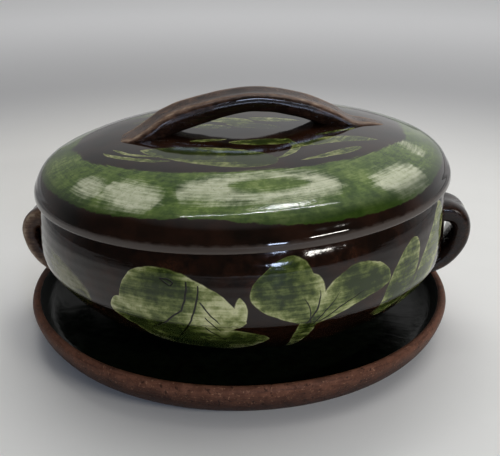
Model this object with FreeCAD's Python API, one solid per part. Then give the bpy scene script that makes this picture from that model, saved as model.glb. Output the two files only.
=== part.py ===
"""Lidded earthenware cooking pot standing in a shallow serving platter.

Millimetres, +Z up. The origin is on the pot's axis, at the level that the platter stands on, with
+X towards the right-hand ear handle and +Y away from the front.
"""
import FreeCAD
import Part
import math
import os

from FreeCAD import Vector

# Serving platter
platter_rim_radius = 151.5
platter_base_radius = 129.0
platter_height = 27.0
platter_lip = 6.5
platter_floor = 8.0

# The pot stands this far to the right of the platter's centre
pot_off_centre = 2.0

# Pot, with heights measured up from its own base: the haunch follows the belly, and the neck the rim
pot_base_radius = 76.0
pot_belly_radius = 143.0
pot_belly_height = 66.0
pot_haunch_inset = 2.5
pot_haunch_radius = pot_belly_radius - pot_haunch_inset
pot_haunch_height = 51.0
pot_rim_radius = 142.0
pot_height = 104.0
pot_neck_inset = 1.0
pot_neck_radius = pot_rim_radius - pot_neck_inset
pot_neck_height = 90.0
pot_wall = 8.0
pot_floor = 9.0

# Swell of the lower wall, halfway up the haunch, past a straight cone
pot_cone_swell = 8.0

# Rings that the pot's wall is skinned over
pot_ring_count = 15

# The mouth was thrown out of level, in degrees, so the rim and the lid rise towards +X
rim_tilt = 2.5

# Ear handles on the pot's sides, turned in degrees from the X axis
ear_width = 26.0
ear_thickness = 12.0
ear_edge_round = 4.5
ear_finger_gap = 8.0
ear_top_height = 74.5
ear_upper_bend = 11.0
ear_lower_bend = 32.0
ear_root_depth = 24.0
ear_turn = -4.5

# Lid, with heights measured up from the pot's mouth
lid_overhang = 2.5
lid_side_height = 14.0
lid_side_lean = 3.0
lid_crown_height = 32.5
lid_shoulder_round = 18.0
lid_wall = 8.0
lid_ring_depth = 8.0
lid_ring_thickness = 6.0
lid_ring_clearance = 1.5

# Arched strap across the lid, turned in degrees from the X axis
strap_span = 132.0
strap_rise = 20.5
strap_width = 26.0
strap_thickness = 15.0
strap_edge_round = 6.0
strap_offset = 5.0
strap_turn = 7.0
strap_root_depth = 20.0

# Spare length of a cutting shape past the face that it opens
cut_overrun = 5.0

# Most of a strap's half side, and of the lid's side, that a rounding may take
round_share = 0.98
shoulder_share = 1.25

Y_AXIS = Vector(0, 1, 0)
Z_AXIS = Vector(0, 0, 1)
ORIGIN = Vector(0, 0, 0)


def at(radius, height):
    """Point of a profile in the XZ plane."""
    return Vector(radius, 0, height)


def spoke(degrees):
    """Unit vector in the XZ plane, with its angle measured from +X towards +Z."""
    angle = math.radians(degrees)
    return at(math.cos(angle), math.sin(angle))


def arc_about(centre, radius, first, last):
    """Circular edge in the XZ plane between two angles in degrees."""
    middle = (first + last) / 2
    return Part.Arc(*[centre + spoke(angle) * radius for angle in (first, middle, last)]).toShape()


def angle_from(centre, point):
    """Angle in degrees of a point seen from a centre in the XZ plane."""
    return math.degrees(math.atan2(point.z - centre.z, point.x - centre.x))


def arc_radius(across, along):
    """Radius of an arc that moves this far across while it runs this far along its end tangent."""
    return (across * across + along * along) / (2 * across)


def wall_arc(foot, top):
    """Arc from a foot point up to a top point, upright at the top."""
    radius = arc_radius(top.x - foot.x, top.z - foot.z)
    centre = top - at(radius, 0)
    return arc_about(centre, radius, angle_from(centre, foot), 0)


def dome_arc(crown, edge):
    """Arc from a crown on the axis down to an edge point, level at the crown."""
    radius = arc_radius(crown.z - edge.z, edge.x)
    centre = crown - at(0, radius)
    return arc_about(centre, radius, 90, angle_from(centre, edge))


def revolved(edges):
    """Solid of revolution about the Z axis, with its seam at the back, clear of the handles."""
    face = Part.Face(Part.Wire(edges))
    face.rotate(ORIGIN, Z_AXIS, 90)
    return face.revolve(ORIGIN, Z_AXIS, 360)


def strap_section(centre, outward, thickness, width, corner):
    """Closed wire of a strap's rounded section: thickness outward, width along Y."""
    corner = min(corner, round_share * thickness / 2, round_share * width / 2)
    edges = []
    for side, end in ((1, 1), (-1, 1), (-1, -1), (1, -1)):
        tip_out = outward * (side * (thickness / 2 - corner))
        tip_along = Y_AXIS * (end * (width / 2 - corner))
        hub = centre + tip_out + tip_along
        first = hub + outward * (side * corner)
        last = hub + Y_AXIS * (end * corner)
        bulge = (outward * side + Y_AXIS * end).normalize() * corner
        edges.append((first, hub + bulge, last) if side == end else (last, hub + bulge, first))
    outline = []
    for here, after in zip(edges, edges[1:] + edges[:1]):
        outline.append(Part.Arc(*here).toShape())
        outline.append(Part.makeLine(here[2], after[0]))
    return Part.Wire(outline)


def main_solid(shape):
    """The one solid of a piece that was cut to sit on its neighbour."""
    return max(shape.Solids, key=lambda solid: solid.Volume)


def serving_platter():
    """Shallow round dish with a rounded lip."""
    lip_half = platter_lip / 2
    lip_centre = at(platter_rim_radius - lip_half, platter_height - lip_half)
    outer_foot = at(platter_base_radius, 0)
    inner_foot = at(platter_base_radius, platter_floor)
    floor_centre = at(0, platter_floor)
    dish = revolved([
        Part.makeLine(ORIGIN, outer_foot),
        wall_arc(outer_foot, lip_centre + at(lip_half, 0)),
        arc_about(lip_centre, lip_half, 0, 180),
        wall_arc(inner_foot, lip_centre - at(lip_half, 0)),
        Part.makeLine(inner_foot, floor_centre),
        Part.makeLine(floor_centre, ORIGIN),
    ])
    dish.translate(at(-pot_off_centre, 0))
    return dish


def pot_outline():
    """Rings of the pot's outside from base to rim, as pairs of height and radius."""
    cone_radius = (pot_base_radius + pot_haunch_radius) / 2 + pot_cone_swell
    return [
        (0.0, pot_base_radius),
        (pot_haunch_height / 2, cone_radius),
        (pot_haunch_height, pot_haunch_radius),
        (pot_belly_height, pot_belly_radius),
        (pot_neck_height, pot_neck_radius),
        (pot_height, pot_rim_radius),
    ]


def hollow_outline(outer):
    """Rings of the pot's inside: the outside's rings moved in, square to the wall."""
    inner = [(pot_floor, pot_base_radius - pot_wall / 2)]
    for below, ring, above in zip(outer, outer[1:], outer[2:]):
        rise = above[0] - below[0]
        spread = above[1] - below[1]
        slant = math.hypot(rise, spread)
        inner.append((ring[0] + pot_wall * spread / slant, ring[1] - pot_wall * rise / slant))
    mouth_radius = pot_rim_radius - pot_wall
    inner.append((pot_height, mouth_radius))
    inner.append((pot_height + cut_overrun, mouth_radius))
    return inner


def ring_tilt(height):
    """Lean of the pot's ring at a height: none at the base, easing in to the rim's."""
    share = min(height / pot_height, 1.0)
    return rim_tilt * share * share * (3 - 2 * share)


def pot_solid(outline):
    """Smooth solid through a pot outline, skinned over even rings that each lean by their own tilt."""
    profile = Part.BSplineCurve()
    profile.interpolate([at(radius, height) for height, radius in outline])
    back = math.radians(90)
    wires = []
    for point in profile.discretize(Number=pot_ring_count):
        normal = spoke(90 + ring_tilt(point.z))
        circle = Part.Circle(at(0, platter_floor + point.z), normal, point.x)
        ring = Part.ArcOfCircle(circle, back, back + math.tau)
        wires.append(Part.Wire(ring.toShape()))
    return Part.makeLoft(wires, True, False)


def ear_handle(pot_body, direction):
    """Strap bent from the neck out, down and back to the lower belly, cut to sit on the pot."""
    grip_radius = pot_belly_radius + ear_finger_gap + ear_thickness / 2
    top = platter_floor + ear_top_height
    widest = top - ear_upper_bend
    foot = widest - ear_lower_bend
    upper_centre = at(grip_radius - ear_upper_bend, widest)
    lower_centre = at(grip_radius - ear_lower_bend, widest)
    top_root = at(pot_belly_radius - ear_root_depth, top)
    foot_root = at(lower_centre.x - ear_root_depth, foot)
    path = Part.Wire([
        Part.makeLine(top_root, at(upper_centre.x, top)),
        arc_about(upper_centre, ear_upper_bend, 90, 0),
        arc_about(lower_centre, ear_lower_bend, 0, -90),
        Part.makeLine(at(lower_centre.x, foot), foot_root),
    ])
    section = strap_section(top_root, Z_AXIS, ear_thickness, ear_width, ear_edge_round)
    strap = path.makePipeShell([section], True, False)
    strap.rotate(ORIGIN, Z_AXIS, direction)
    strap.rotate(at(0, widest), Y_AXIS, -rim_tilt)
    return main_solid(strap.cut(pot_body))


def lid_block():
    """The lid's outside as a full solid, in the lid's own level frame."""
    edge = at(pot_rim_radius + lid_overhang, 0)
    shoulder = at(edge.x - lid_side_lean, lid_side_height)
    crown = at(0, lid_crown_height)
    block = revolved([
        Part.makeLine(ORIGIN, edge),
        Part.makeLine(edge, shoulder),
        dome_arc(crown, shoulder),
        Part.makeLine(crown, ORIGIN),
    ])
    circles = [edge for edge in block.Edges if edge.Closed and not edge.Degenerated]
    corner = max(circles, key=lambda edge: edge.CenterOfMass.z)
    rounding = min(lid_shoulder_round, shoulder_share * lid_side_height)
    return main_solid(block.makeFillet(rounding, [corner]))


def lid_shell(block):
    """Hollow lid with the ring that drops into the pot's mouth."""
    ring_outer = pot_rim_radius - pot_wall - lid_ring_clearance
    ring_inner = ring_outer - lid_ring_thickness
    below = -lid_ring_depth - cut_overrun
    ring = Part.makeCylinder(ring_outer, lid_ring_depth, at(0, -lid_ring_depth))
    crown = at(0, lid_crown_height - lid_wall)
    spring = at(ring_inner, lid_side_height - lid_wall)
    hollow = revolved([
        dome_arc(crown, spring),
        Part.makeLine(spring, at(ring_inner, below)),
        Part.makeLine(at(ring_inner, below), at(0, below)),
        Part.makeLine(at(0, below), crown),
    ])
    return block.fuse(ring).cut(hollow).removeSplitter()


def lid_handle(block):
    """Arched strap whose ends are cut to sit on the lid's dome."""
    half_span = strap_span / 2
    dome_reach = pot_rim_radius + lid_overhang - lid_side_lean
    dome_radius = arc_radius(lid_crown_height - lid_side_height, dome_reach)
    foot = lid_crown_height - dome_radius + math.sqrt(dome_radius ** 2 - half_span ** 2)
    bend = arc_radius(strap_rise, half_span)
    hub = at(strap_offset, foot + strap_rise - bend)
    swing = math.degrees(math.asin(half_span / bend) + strap_root_depth / bend)
    outward = spoke(90 + swing)
    section = strap_section(hub + outward * bend, outward, strap_thickness, strap_width, strap_edge_round)
    strap = Part.Face(section).revolve(hub, Y_AXIS, 2 * swing)
    strap.rotate(hub, Z_AXIS, strap_turn)
    return main_solid(strap.cut(block))


def on_the_mouth(shape):
    """A lid piece moved from the lid's level frame on to the tilted mouth of the pot."""
    shape.rotate(ORIGIN, Y_AXIS, -rim_tilt)
    shape.translate(at(0, platter_floor + pot_height))
    return main_solid(shape)


def build():
    """Make every piece and write each to its own file."""
    outline = pot_outline()
    pot_body = pot_solid(outline)
    block = lid_block()
    pieces = {
        "serving_platter": serving_platter(),
        "pot_bowl": main_solid(pot_body.cut(pot_solid(hollow_outline(outline)))),
        "pot_handle_right": ear_handle(pot_body, ear_turn),
        "pot_handle_left": ear_handle(pot_body, 180 + ear_turn),
        "lid_shell": on_the_mouth(lid_shell(block)),
        "lid_handle": on_the_mouth(lid_handle(block)),
    }
    os.makedirs("parts", exist_ok=True)
    for name, shape in pieces.items():
        shape.exportStep("parts/" + name + ".step")
        print("%-17s valid %s, %7.1f cm3" % (name, shape.isValid(), shape.Volume / 1000))


build()
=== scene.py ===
"""Looks of a lidded earthenware cooking pot that stands in a shallow terracotta platter.

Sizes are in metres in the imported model's frame: +Z up, the pot's axis on the origin, the front at -Y
and the right-hand ear at +X. Painted ornament is laid out in millimetres.
"""
import logging
import math
from collections.abc import Callable, Sequence
from dataclasses import dataclass
from enum import Enum

import bmesh
import bpy
from mathutils import Color, Matrix, Vector, noise
from mathutils.geometry import interpolate_bezier


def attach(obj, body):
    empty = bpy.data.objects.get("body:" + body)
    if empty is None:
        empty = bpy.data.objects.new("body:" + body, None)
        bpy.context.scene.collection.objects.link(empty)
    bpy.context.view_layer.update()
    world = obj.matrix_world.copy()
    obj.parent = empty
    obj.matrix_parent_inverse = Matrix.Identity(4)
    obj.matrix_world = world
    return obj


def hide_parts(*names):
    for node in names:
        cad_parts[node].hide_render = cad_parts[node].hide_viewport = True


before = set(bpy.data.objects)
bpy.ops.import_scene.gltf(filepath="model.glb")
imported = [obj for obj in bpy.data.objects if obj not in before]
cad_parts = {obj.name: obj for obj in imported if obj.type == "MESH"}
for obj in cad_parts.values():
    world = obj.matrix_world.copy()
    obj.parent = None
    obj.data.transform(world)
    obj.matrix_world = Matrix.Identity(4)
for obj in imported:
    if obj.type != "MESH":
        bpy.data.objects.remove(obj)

LOG = logging.getLogger("cooking_pot")

Mesh = bmesh.types.BMesh
Tree = bpy.types.NodeTree
Socket = bpy.types.NodeSocket
Feed = bpy.types.NodeSocket | float | tuple
Pair = tuple[float, float]
Line = tuple[Pair, ...]
Rgb = tuple[int, int, int]
Shades = tuple[Rgb, Rgb]
Stops = tuple[tuple[float, Rgb], ...]

MOUTH_LEAN = math.radians(2.5)
BASE_LEVEL = 0.008
MOUTH_LEVEL = 0.112
MERGE_DISTANCE = 1e-6
LATHE_STEPS = 216
LATHE_DOUBLINGS = 3
COARSE_STEPS = 4
PLAIN_STEPS = 6
FINE_STEPS = 7
SEED_SPREAD = (1.0, 0.7, 1.3)
MILLIMETRES_PER_METRE = 1000.0


class Body(Enum):
    """Loose things that the object comes apart into."""

    PLATTER = "platter"
    POT = "pot"
    LID = "lid"


class Slot(Enum):
    """Finishes named in the part's record."""

    TERRACOTTA = "terracotta"
    POT_GLAZE = "pot_glaze"
    HANDLE_GLAZE = "handle_glaze"
    LID_GLAZE = "lid_glaze"


class Side(Enum):
    """Sides of the pot that carry an ear handle, with the turn of each in degrees."""

    RIGHT = -4.5
    LEFT = 175.5


@dataclass(frozen=True)
class Unevenness:
    """Smooth chance shift, as hands leave on clay, with features of the cell's size."""

    cell: float
    seed: float
    amount: float

    def at(self, point: Vector) -> float:
        """Gives the shift at a point, between the amount either way."""
        start = Vector([self.seed * spread for spread in SEED_SPREAD])
        return noise.noise(point / self.cell + start) * self.amount


@dataclass(frozen=True)
class Pattern:
    """Noise with features per millimetre, layers of detail, and the levels that it eases between."""

    scale: float
    detail: float
    rough: float
    levels: Pair


@dataclass(frozen=True)
class Paint:
    """A colour, how strongly it covers, and the levels it eases in between where it has them."""

    colour: Rgb
    strength: float = 1.0
    levels: Pair | None = None


@dataclass(frozen=True)
class Weights:
    """How much each of a finish's patterns counts."""

    mottle: float = 0.0
    mark: float = 0.0
    cloud: float = 0.0


def straight(*knots: Pair) -> list[Vector]:
    """Gives the points of a profile, with radius in x and height in y."""
    return [Vector((radius, height, 0.0)) for radius, height in knots]


def flowing_line(knots: Sequence[Pair], steps: int) -> list[Vector]:
    """Runs a smooth line through the knots of a profile.

    Args:
        knots: Radius and height of each knot.
        steps: Points per span.

    Returns:
        Points of the line with radius in x and height in y.
    """
    points = straight(*knots)
    last = len(points) - 1
    line = []
    for index in range(last):
        start, end = points[index], points[index + 1]
        reach = (end - start).length / 3
        leave = (end - points[max(index - 1, 0)]).normalized() * reach
        arrive = (points[min(index + 2, last)] - start).normalized() * reach
        line += interpolate_bezier(start, start + leave, end - arrive, end, steps + 1)[:-1]
    return line + points[-1:]


def dome_line(crown: float, edge: Pair, power: float, steps: int) -> list[Vector]:
    """Runs a dome's profile from its crown outwards.

    Args:
        crown: Height of the crown.
        edge: Radius and height at which the line stops.
        power: How flat the crown is: 2 for a round dome, more for a flat one.
        steps: Spans of the line.

    Returns:
        Points of the line with radius in x and height in y.
    """
    reach, low = edge
    shares = [step / steps for step in range(steps + 1)]
    return straight(*((reach * share, crown + (low - crown) * share ** power) for share in shares))


def eased(table: Sequence[Pair], at: float) -> float:
    """Reads a smooth curve through a table.

    Args:
        table: Rising places with their values.
        at: Place to read.

    Returns:
        Value of the curve there.
    """
    last = len(table) - 1
    index = min(max(sum(place <= at for place, _ in table) - 1, 0), last - 1)
    slopes = []
    for knot in (index, index + 1):
        before, after = table[max(knot - 1, 0)], table[min(knot + 1, last)]
        slopes.append((after[1] - before[1]) / (after[0] - before[0]))
    (left, low), (right, high) = table[index], table[index + 1]
    width = right - left
    t = min(max((at - left) / width, 0.0), 1.0)
    flow = low * (1 + 2 * t) * (1 - t) ** 2 + high * t * t * (3 - 2 * t)
    return flow + width * (slopes[0] * t * (1 - t) ** 2 - slopes[1] * t * t * (1 - t))


def clamped(share: float) -> float:
    """Keeps a share from 0 to 1."""
    return min(max(share, 0.0), 1.0)


def outward(point: Vector) -> Vector:
    """Gives the level direction from the axis through a point."""
    return Vector((point.x, point.y, 0.0)).normalized()


def squared(turn: float, power: float) -> Pair:
    """Gives a point of a rounded box of half sides 1 for a turn in radians."""
    across, up = round(math.cos(turn), 9), round(math.sin(turn), 9)
    return (math.copysign(abs(across) ** power, across), math.copysign(abs(up) ** power, up))


def lathe(sections: Sequence[Sequence[Vector]]) -> Mesh:
    """Spins a profile about the Z axis: one wedge, then copies that double what is turned.

    Args:
        sections: Lines that follow each other along the profile; each one's number goes into the zone layer.

    Returns:
        The closed mesh.
    """
    mesh = bmesh.new()
    zone = mesh.verts.layers.float.new("zone")
    wedges = 2 ** LATHE_DOUBLINGS
    wedge = math.tau / wedges
    for number, section in enumerate(sections):
        before = set(mesh.verts)
        line = [mesh.verts.new((0.0, point.x, point.y)) for point in section]
        edges = [mesh.edges.new(pair) for pair in zip(line, line[1:])]
        bmesh.ops.spin(mesh, geom=line + edges, axis=(0, 0, 1), angle=wedge, steps=LATHE_STEPS // wedges)
        for vert in set(mesh.verts) - before:
            vert[zone] = number
    for doubling in range(LATHE_DOUBLINGS):
        copied = bmesh.ops.duplicate(mesh, geom=mesh.verts[:] + mesh.edges[:] + mesh.faces[:])["geom"]
        verts = [item for item in copied if isinstance(item, bmesh.types.BMVert)]
        turn = Matrix.Rotation(wedge * 2 ** doubling, 3, "Z")
        bmesh.ops.rotate(mesh, verts=verts, cent=(0, 0, 0), matrix=turn)
    bmesh.ops.remove_doubles(mesh, verts=mesh.verts, dist=MERGE_DISTANCE)
    bmesh.ops.recalc_face_normals(mesh, faces=mesh.faces)
    return mesh


def rolled_strap(
    lengths: int, rounds: int, place: Callable[[float, float], tuple[Vector, float]],
) -> Mesh:
    """Rolls a grid into a closed strap.

    Args:
        lengths: Spans along the strap.
        rounds: Spans round its section.
        place: Gives a point and its wear from the share along the strap and the turn round the section.

    Returns:
        The closed mesh, with the wear in its own layer.
    """
    mesh = bmesh.new()
    wear = mesh.verts.layers.float.new("wear")
    bmesh.ops.create_grid(mesh, x_segments=lengths, y_segments=rounds, size=0.5)
    for vert in mesh.verts:
        vert.co, vert[wear] = place(vert.co.x + 0.5, (vert.co.y + 0.5) * math.tau)
    bmesh.ops.remove_doubles(mesh, verts=mesh.verts, dist=MERGE_DISTANCE)
    bmesh.ops.holes_fill(mesh, edges=[edge for edge in mesh.edges if edge.is_boundary], sides=0)
    bmesh.ops.recalc_face_normals(mesh, faces=mesh.faces)
    return mesh


def shaped(mesh: Mesh, move: Callable[[Vector], Vector]) -> Mesh:
    """Moves every point of a mesh.

    Args:
        mesh: Mesh to shape.
        move: Gives the new place of a point.

    Returns:
        The same mesh.
    """
    for vert in mesh.verts:
        vert.co = move(vert.co)
    return mesh


def set_piece(mesh: Mesh, node: str, body: Body, slot: Slot, finish: bpy.types.Material) -> None:
    """Turns a mesh into a finished piece that stands for a node of the frame.

    Args:
        mesh: Shape in the frame's own place; it is freed.
        node: Node that the piece stands for.
        body: Body that it rides on.
        slot: Finish in the record; not used.
        finish: Material.
    """
    data = bpy.data.meshes.new(node + "_visual")
    mesh.to_mesh(data)
    mesh.free()
    data.shade_smooth()
    data.materials.append(finish)
    piece = bpy.data.objects.new(node + "_visual", data)
    bpy.context.scene.collection.objects.link(piece)
    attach(piece, body.value)
    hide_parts(node)
    LOG.info("%s: %d faces on %s", piece.name, len(data.polygons), body.value)


def tint(colour: Rgb) -> tuple[float, float, float, float]:
    """Turns a screen colour of 0 to 255 into the linear colour that shaders take."""
    return (*Color([part / 255 for part in colour]).from_srgb_to_scene_linear(), 1.0)


class Wiring:
    """Adds and links the nodes of one shader tree."""

    def __init__(self, tree: Tree) -> None:
        """Keeps the tree to work on."""
        self.tree = tree

    def add(self, kind: str, feeds: dict | None = None, **settings: object) -> bpy.types.Node:
        """Adds a node.

        Args:
            kind: Node type without its ShaderNode start.
            feeds: Values or sockets by the name or number of the input that they go to.
            settings: Other properties of the node.

        Returns:
            The node.
        """
        node = self.tree.nodes.new("ShaderNode" + kind)
        for name, value in settings.items():
            setattr(node, name, value)
        self.feed(node, feeds or {})
        return node

    def feed(self, node: bpy.types.Node, feeds: dict) -> None:
        """Links sockets to a node's inputs, or sets plain values on them.

        Args:
            node: Node to feed.
            feeds: Values or sockets by the name or number of the input.
        """
        for key, value in feeds.items():
            if isinstance(value, bpy.types.NodeSocket):
                self.tree.links.new(value, node.inputs[key])
            else:
                node.inputs[key].default_value = value

    def sum(self, operation: str, *values: Feed) -> Socket:
        """Works out one number, with a Math node's operation."""
        return self.add("Math", dict(enumerate(values)), operation=operation).outputs[0]

    def times(self, value: Feed, factor: Feed) -> Socket:
        """Multiplies two numbers."""
        return self.sum("MULTIPLY", value, factor)

    def weighed(self, base: Feed, *weights: tuple[Feed, float]) -> Feed:
        """Adds weighted values to a base.

        Args:
            base: Number to start from.
            weights: Values, each with its weight.

        Returns:
            The sum.
        """
        for value, weight in weights:
            base = self.sum("MULTIPLY_ADD", value, weight, base)
        return base

    def stirred(self, base: Feed, *amounts: tuple[Feed, float]) -> Feed:
        """Shifts a base by how far patterns of 0 to 1 lie from their middle.

        Args:
            base: Number to shift.
            amounts: Patterns, each with the shift over its whole range.

        Returns:
            The shifted number.
        """
        return self.weighed(base, *((self.sum("SUBTRACT", value, 0.5), amount) for value, amount in amounts))

    def vector(self, operation: str, *values: Feed) -> Socket:
        """Works out a vector, or the number of a length or a dot product, with a Vector Math node."""
        node = self.add("VectorMath", dict(enumerate(values)), operation=operation)
        return node.outputs["Value" if operation in ("LENGTH", "DOT_PRODUCT") else "Vector"]

    def scaled(self, vector: Socket, scale: Feed) -> Socket:
        """Scales a vector."""
        return self.add("VectorMath", {0: vector, "Scale": scale}, operation="SCALE").outputs[0]

    def parts(self, vector: Socket) -> list[Socket]:
        """Splits a vector into x, y and z."""
        return list(self.add("SeparateXYZ", {0: vector}).outputs)

    def joined(self, x: Feed, y: Feed, z: Feed = 0.0) -> Socket:
        """Joins x, y and z into a vector."""
        return self.add("CombineXYZ", {0: x, 1: y, 2: z}).outputs[0]

    def azimuth(self, x: Socket, y: Socket) -> Socket:
        """Gives the turn about the axis from the front towards the right, in radians."""
        return self.sum("ARCTAN2", x, self.times(y, -1.0))

    def ramp(self, value: Feed, low: float, high: float) -> Socket:
        """Eases a value from 0 at low to 1 at high."""
        feeds = {"Value": value, "From Min": low, "From Max": high}
        return self.add("MapRange", feeds, interpolation_type="SMOOTHSTEP").outputs[0]

    def stretch(self, value: Feed, rise: Pair, fall: Pair) -> Socket:
        """Gives 1 on a stretch of a value that one ramp begins and another ends."""
        return self.times(self.ramp(value, *rise), self.ramp(value, *fall))

    def noise(self, vector: Socket, scale: float, detail: float = 2.0, rough: float = 0.5) -> Socket:
        """Gives a noise value of about 0 to 1."""
        feeds = {"Vector": vector, "Scale": scale, "Detail": detail, "Roughness": rough}
        return self.add("TexNoise", feeds).outputs[0]

    def mask(self, vector: Socket, pattern: Pattern) -> Socket:
        """Gives a pattern's value from 0 to 1."""
        return self.ramp(self.noise(vector, pattern.scale, pattern.detail, pattern.rough), *pattern.levels)

    def mix(self, share: Feed, first: Feed, second: Feed) -> Socket:
        """Mixes two colours by a share."""
        return self.add("Mix", {0: share, 6: first, 7: second}, data_type="RGBA").outputs[2]

    def between(self, share: Feed, shades: Shades) -> Socket:
        """Mixes two screen colours by a share."""
        return self.mix(share, tint(shades[0]), tint(shades[1]))

    def painted(self, base: Feed, where: Feed, paint: Paint) -> Socket:
        """Lays a paint over a colour: where a value passes the paint's levels, or else by a mask."""
        mask = self.ramp(where, *paint.levels) if paint.levels else where
        return self.mix(self.times(mask, paint.strength), base, tint(paint.colour))

    def tones(self, value: Feed, stops: Stops) -> Socket:
        """Turns a value into a colour along stops.

        Args:
            value: Value from 0 to 1.
            stops: Rising places, each with its colour.

        Returns:
            The colour.
        """
        node = self.add("ValToRGB", {0: value})
        # A new ramp starts with two stops.
        elements = node.color_ramp.elements
        for index, (place, colour) in enumerate(stops):
            element = elements[index] if index < 2 else elements.new(place)
            element.position, element.color = place, tint(colour)
        return node.outputs[0]

    def curve(self, value: Feed, points: Sequence[Pair]) -> Socket:
        """Reads a smooth curve through points.

        Args:
            value: Place to read, from 0 to 1.
            points: Rising places and their values, both from 0 to 1.

        Returns:
            Value of the curve.
        """
        node = self.add("FloatCurve", {"Value": value})
        # A new curve starts with two points.
        line = node.mapping.curves[0].points
        for index, (place, height) in enumerate(points):
            point = line[index] if index < 2 else line.new(place, height)
            point.location = (place, height)
        node.mapping.update()
        return node.outputs[0]

    def group(self, tree: Tree, feeds: dict) -> bpy.types.Node:
        """Places a node group with its own values and returns its node."""
        return self.add("Group", feeds, node_tree=tree)

    def millimetres(self) -> Socket:
        """Gives the place on the piece in millimetres."""
        return self.scaled(self.add("TexCoord").outputs["Object"], MILLIMETRES_PER_METRE)

    def layer(self, name: str) -> Socket:
        """Reads one of the piece's own layers."""
        return self.add("Attribute", attribute_name=name).outputs["Fac"]

    def surface(self, colour: Feed, roughness: Feed, height: Feed, ior: float = 1.46) -> None:
        """Ends a material in a Principled shader.

        Args:
            colour: Base colour.
            roughness: Roughness.
            height: Relief in millimetres.
            ior: Index of refraction.
        """
        feeds = {"Height": height, "Strength": 1.0, "Distance": 1 / MILLIMETRES_PER_METRE}
        bump = self.add("Bump", feeds)
        feeds = {"Base Color": colour, "Roughness": roughness, "Normal": bump.outputs[0], "IOR": ior}
        shader = self.add("BsdfPrincipled", feeds)
        self.add("OutputMaterial", {"Surface": shader.outputs[0]})


def new_finish(name: str) -> tuple[bpy.types.Material, Wiring]:
    """Starts a material.

    Args:
        name: Name of the material.

    Returns:
        The material and its empty wiring.
    """
    material = bpy.data.materials.new(name)
    material.use_nodes = True
    material.node_tree.nodes.clear()
    return material, Wiring(material.node_tree)


def new_group(
    name: str, inputs: dict[str, str], outputs: dict[str, str],
) -> tuple[Wiring, dict[str, Socket], bpy.types.Node]:
    """Starts a node group.

    Args:
        name: Name of the group.
        inputs: Socket kinds by input name.
        outputs: Socket kinds by output name.

    Returns:
        The group's wiring, its inputs by name, and its output node.
    """
    tree = bpy.data.node_groups.new(name, "ShaderNodeTree")
    for way, sockets in (("INPUT", inputs), ("OUTPUT", outputs)):
        for label, kind in sockets.items():
            tree.interface.new_socket(name=label, in_out=way, socket_type="NodeSocket" + kind)
    source = tree.nodes.new("NodeGroupInput")
    sink = tree.nodes.new("NodeGroupOutput")
    return Wiring(tree), {label: source.outputs[label] for label in inputs}, sink


@dataclass(frozen=True)
class Platter:
    """Shallow terracotta dish under the pot."""

    axis: Pair = (-0.002, 0.0)
    outside: Line = (
        (0.1270, 0.0), (0.1310, 0.0005), (0.1370, 0.0024), (0.1430, 0.0066), (0.1478, 0.0126),
        (0.1504, 0.0186), (0.1514, 0.0228), (0.1509, 0.0254), (0.1492, 0.0269), (0.1474, 0.0269),
        (0.1459, 0.0258),
    )
    inside: Line = (
        (0.1459, 0.0258), (0.1449, 0.0235), (0.1441, 0.0205), (0.1420, 0.0152), (0.1375, 0.0108),
        (0.1310, 0.0085), (0.1240, 0.0080),
    )
    steady_height: float = 0.02
    sway: Unevenness = Unevenness(0.06, 3.0, 0.0005)
    rise: Unevenness = Unevenness(0.09, 8.0, 0.0005)

    def moved(self, point: Vector) -> Vector:
        """Shifts a point to the dish's axis and unevenly by hand, less towards the foot.

        Args:
            point: Point of the turned dish.

        Returns:
            Its new place.
        """
        share = min(point.z / self.steady_height, 1.0)
        lift = Vector((*self.axis, self.rise.at(point) * share))
        return point + outward(point) * self.sway.at(point) * share + lift

    def mesh(self) -> Mesh:
        """Spins the dish and gives it the small faults of hand turning.

        Returns:
            Mesh in the frame's place.
        """
        well = self.inside[-1]
        under, floor = straight((0.0, 0.0), self.outside[0]), straight(well, (0.0, well[1]))
        outside, inside = flowing_line(self.outside, FINE_STEPS), flowing_line(self.inside, FINE_STEPS)
        return shaped(lathe([under, outside, inside, floor]), self.moved)


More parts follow.
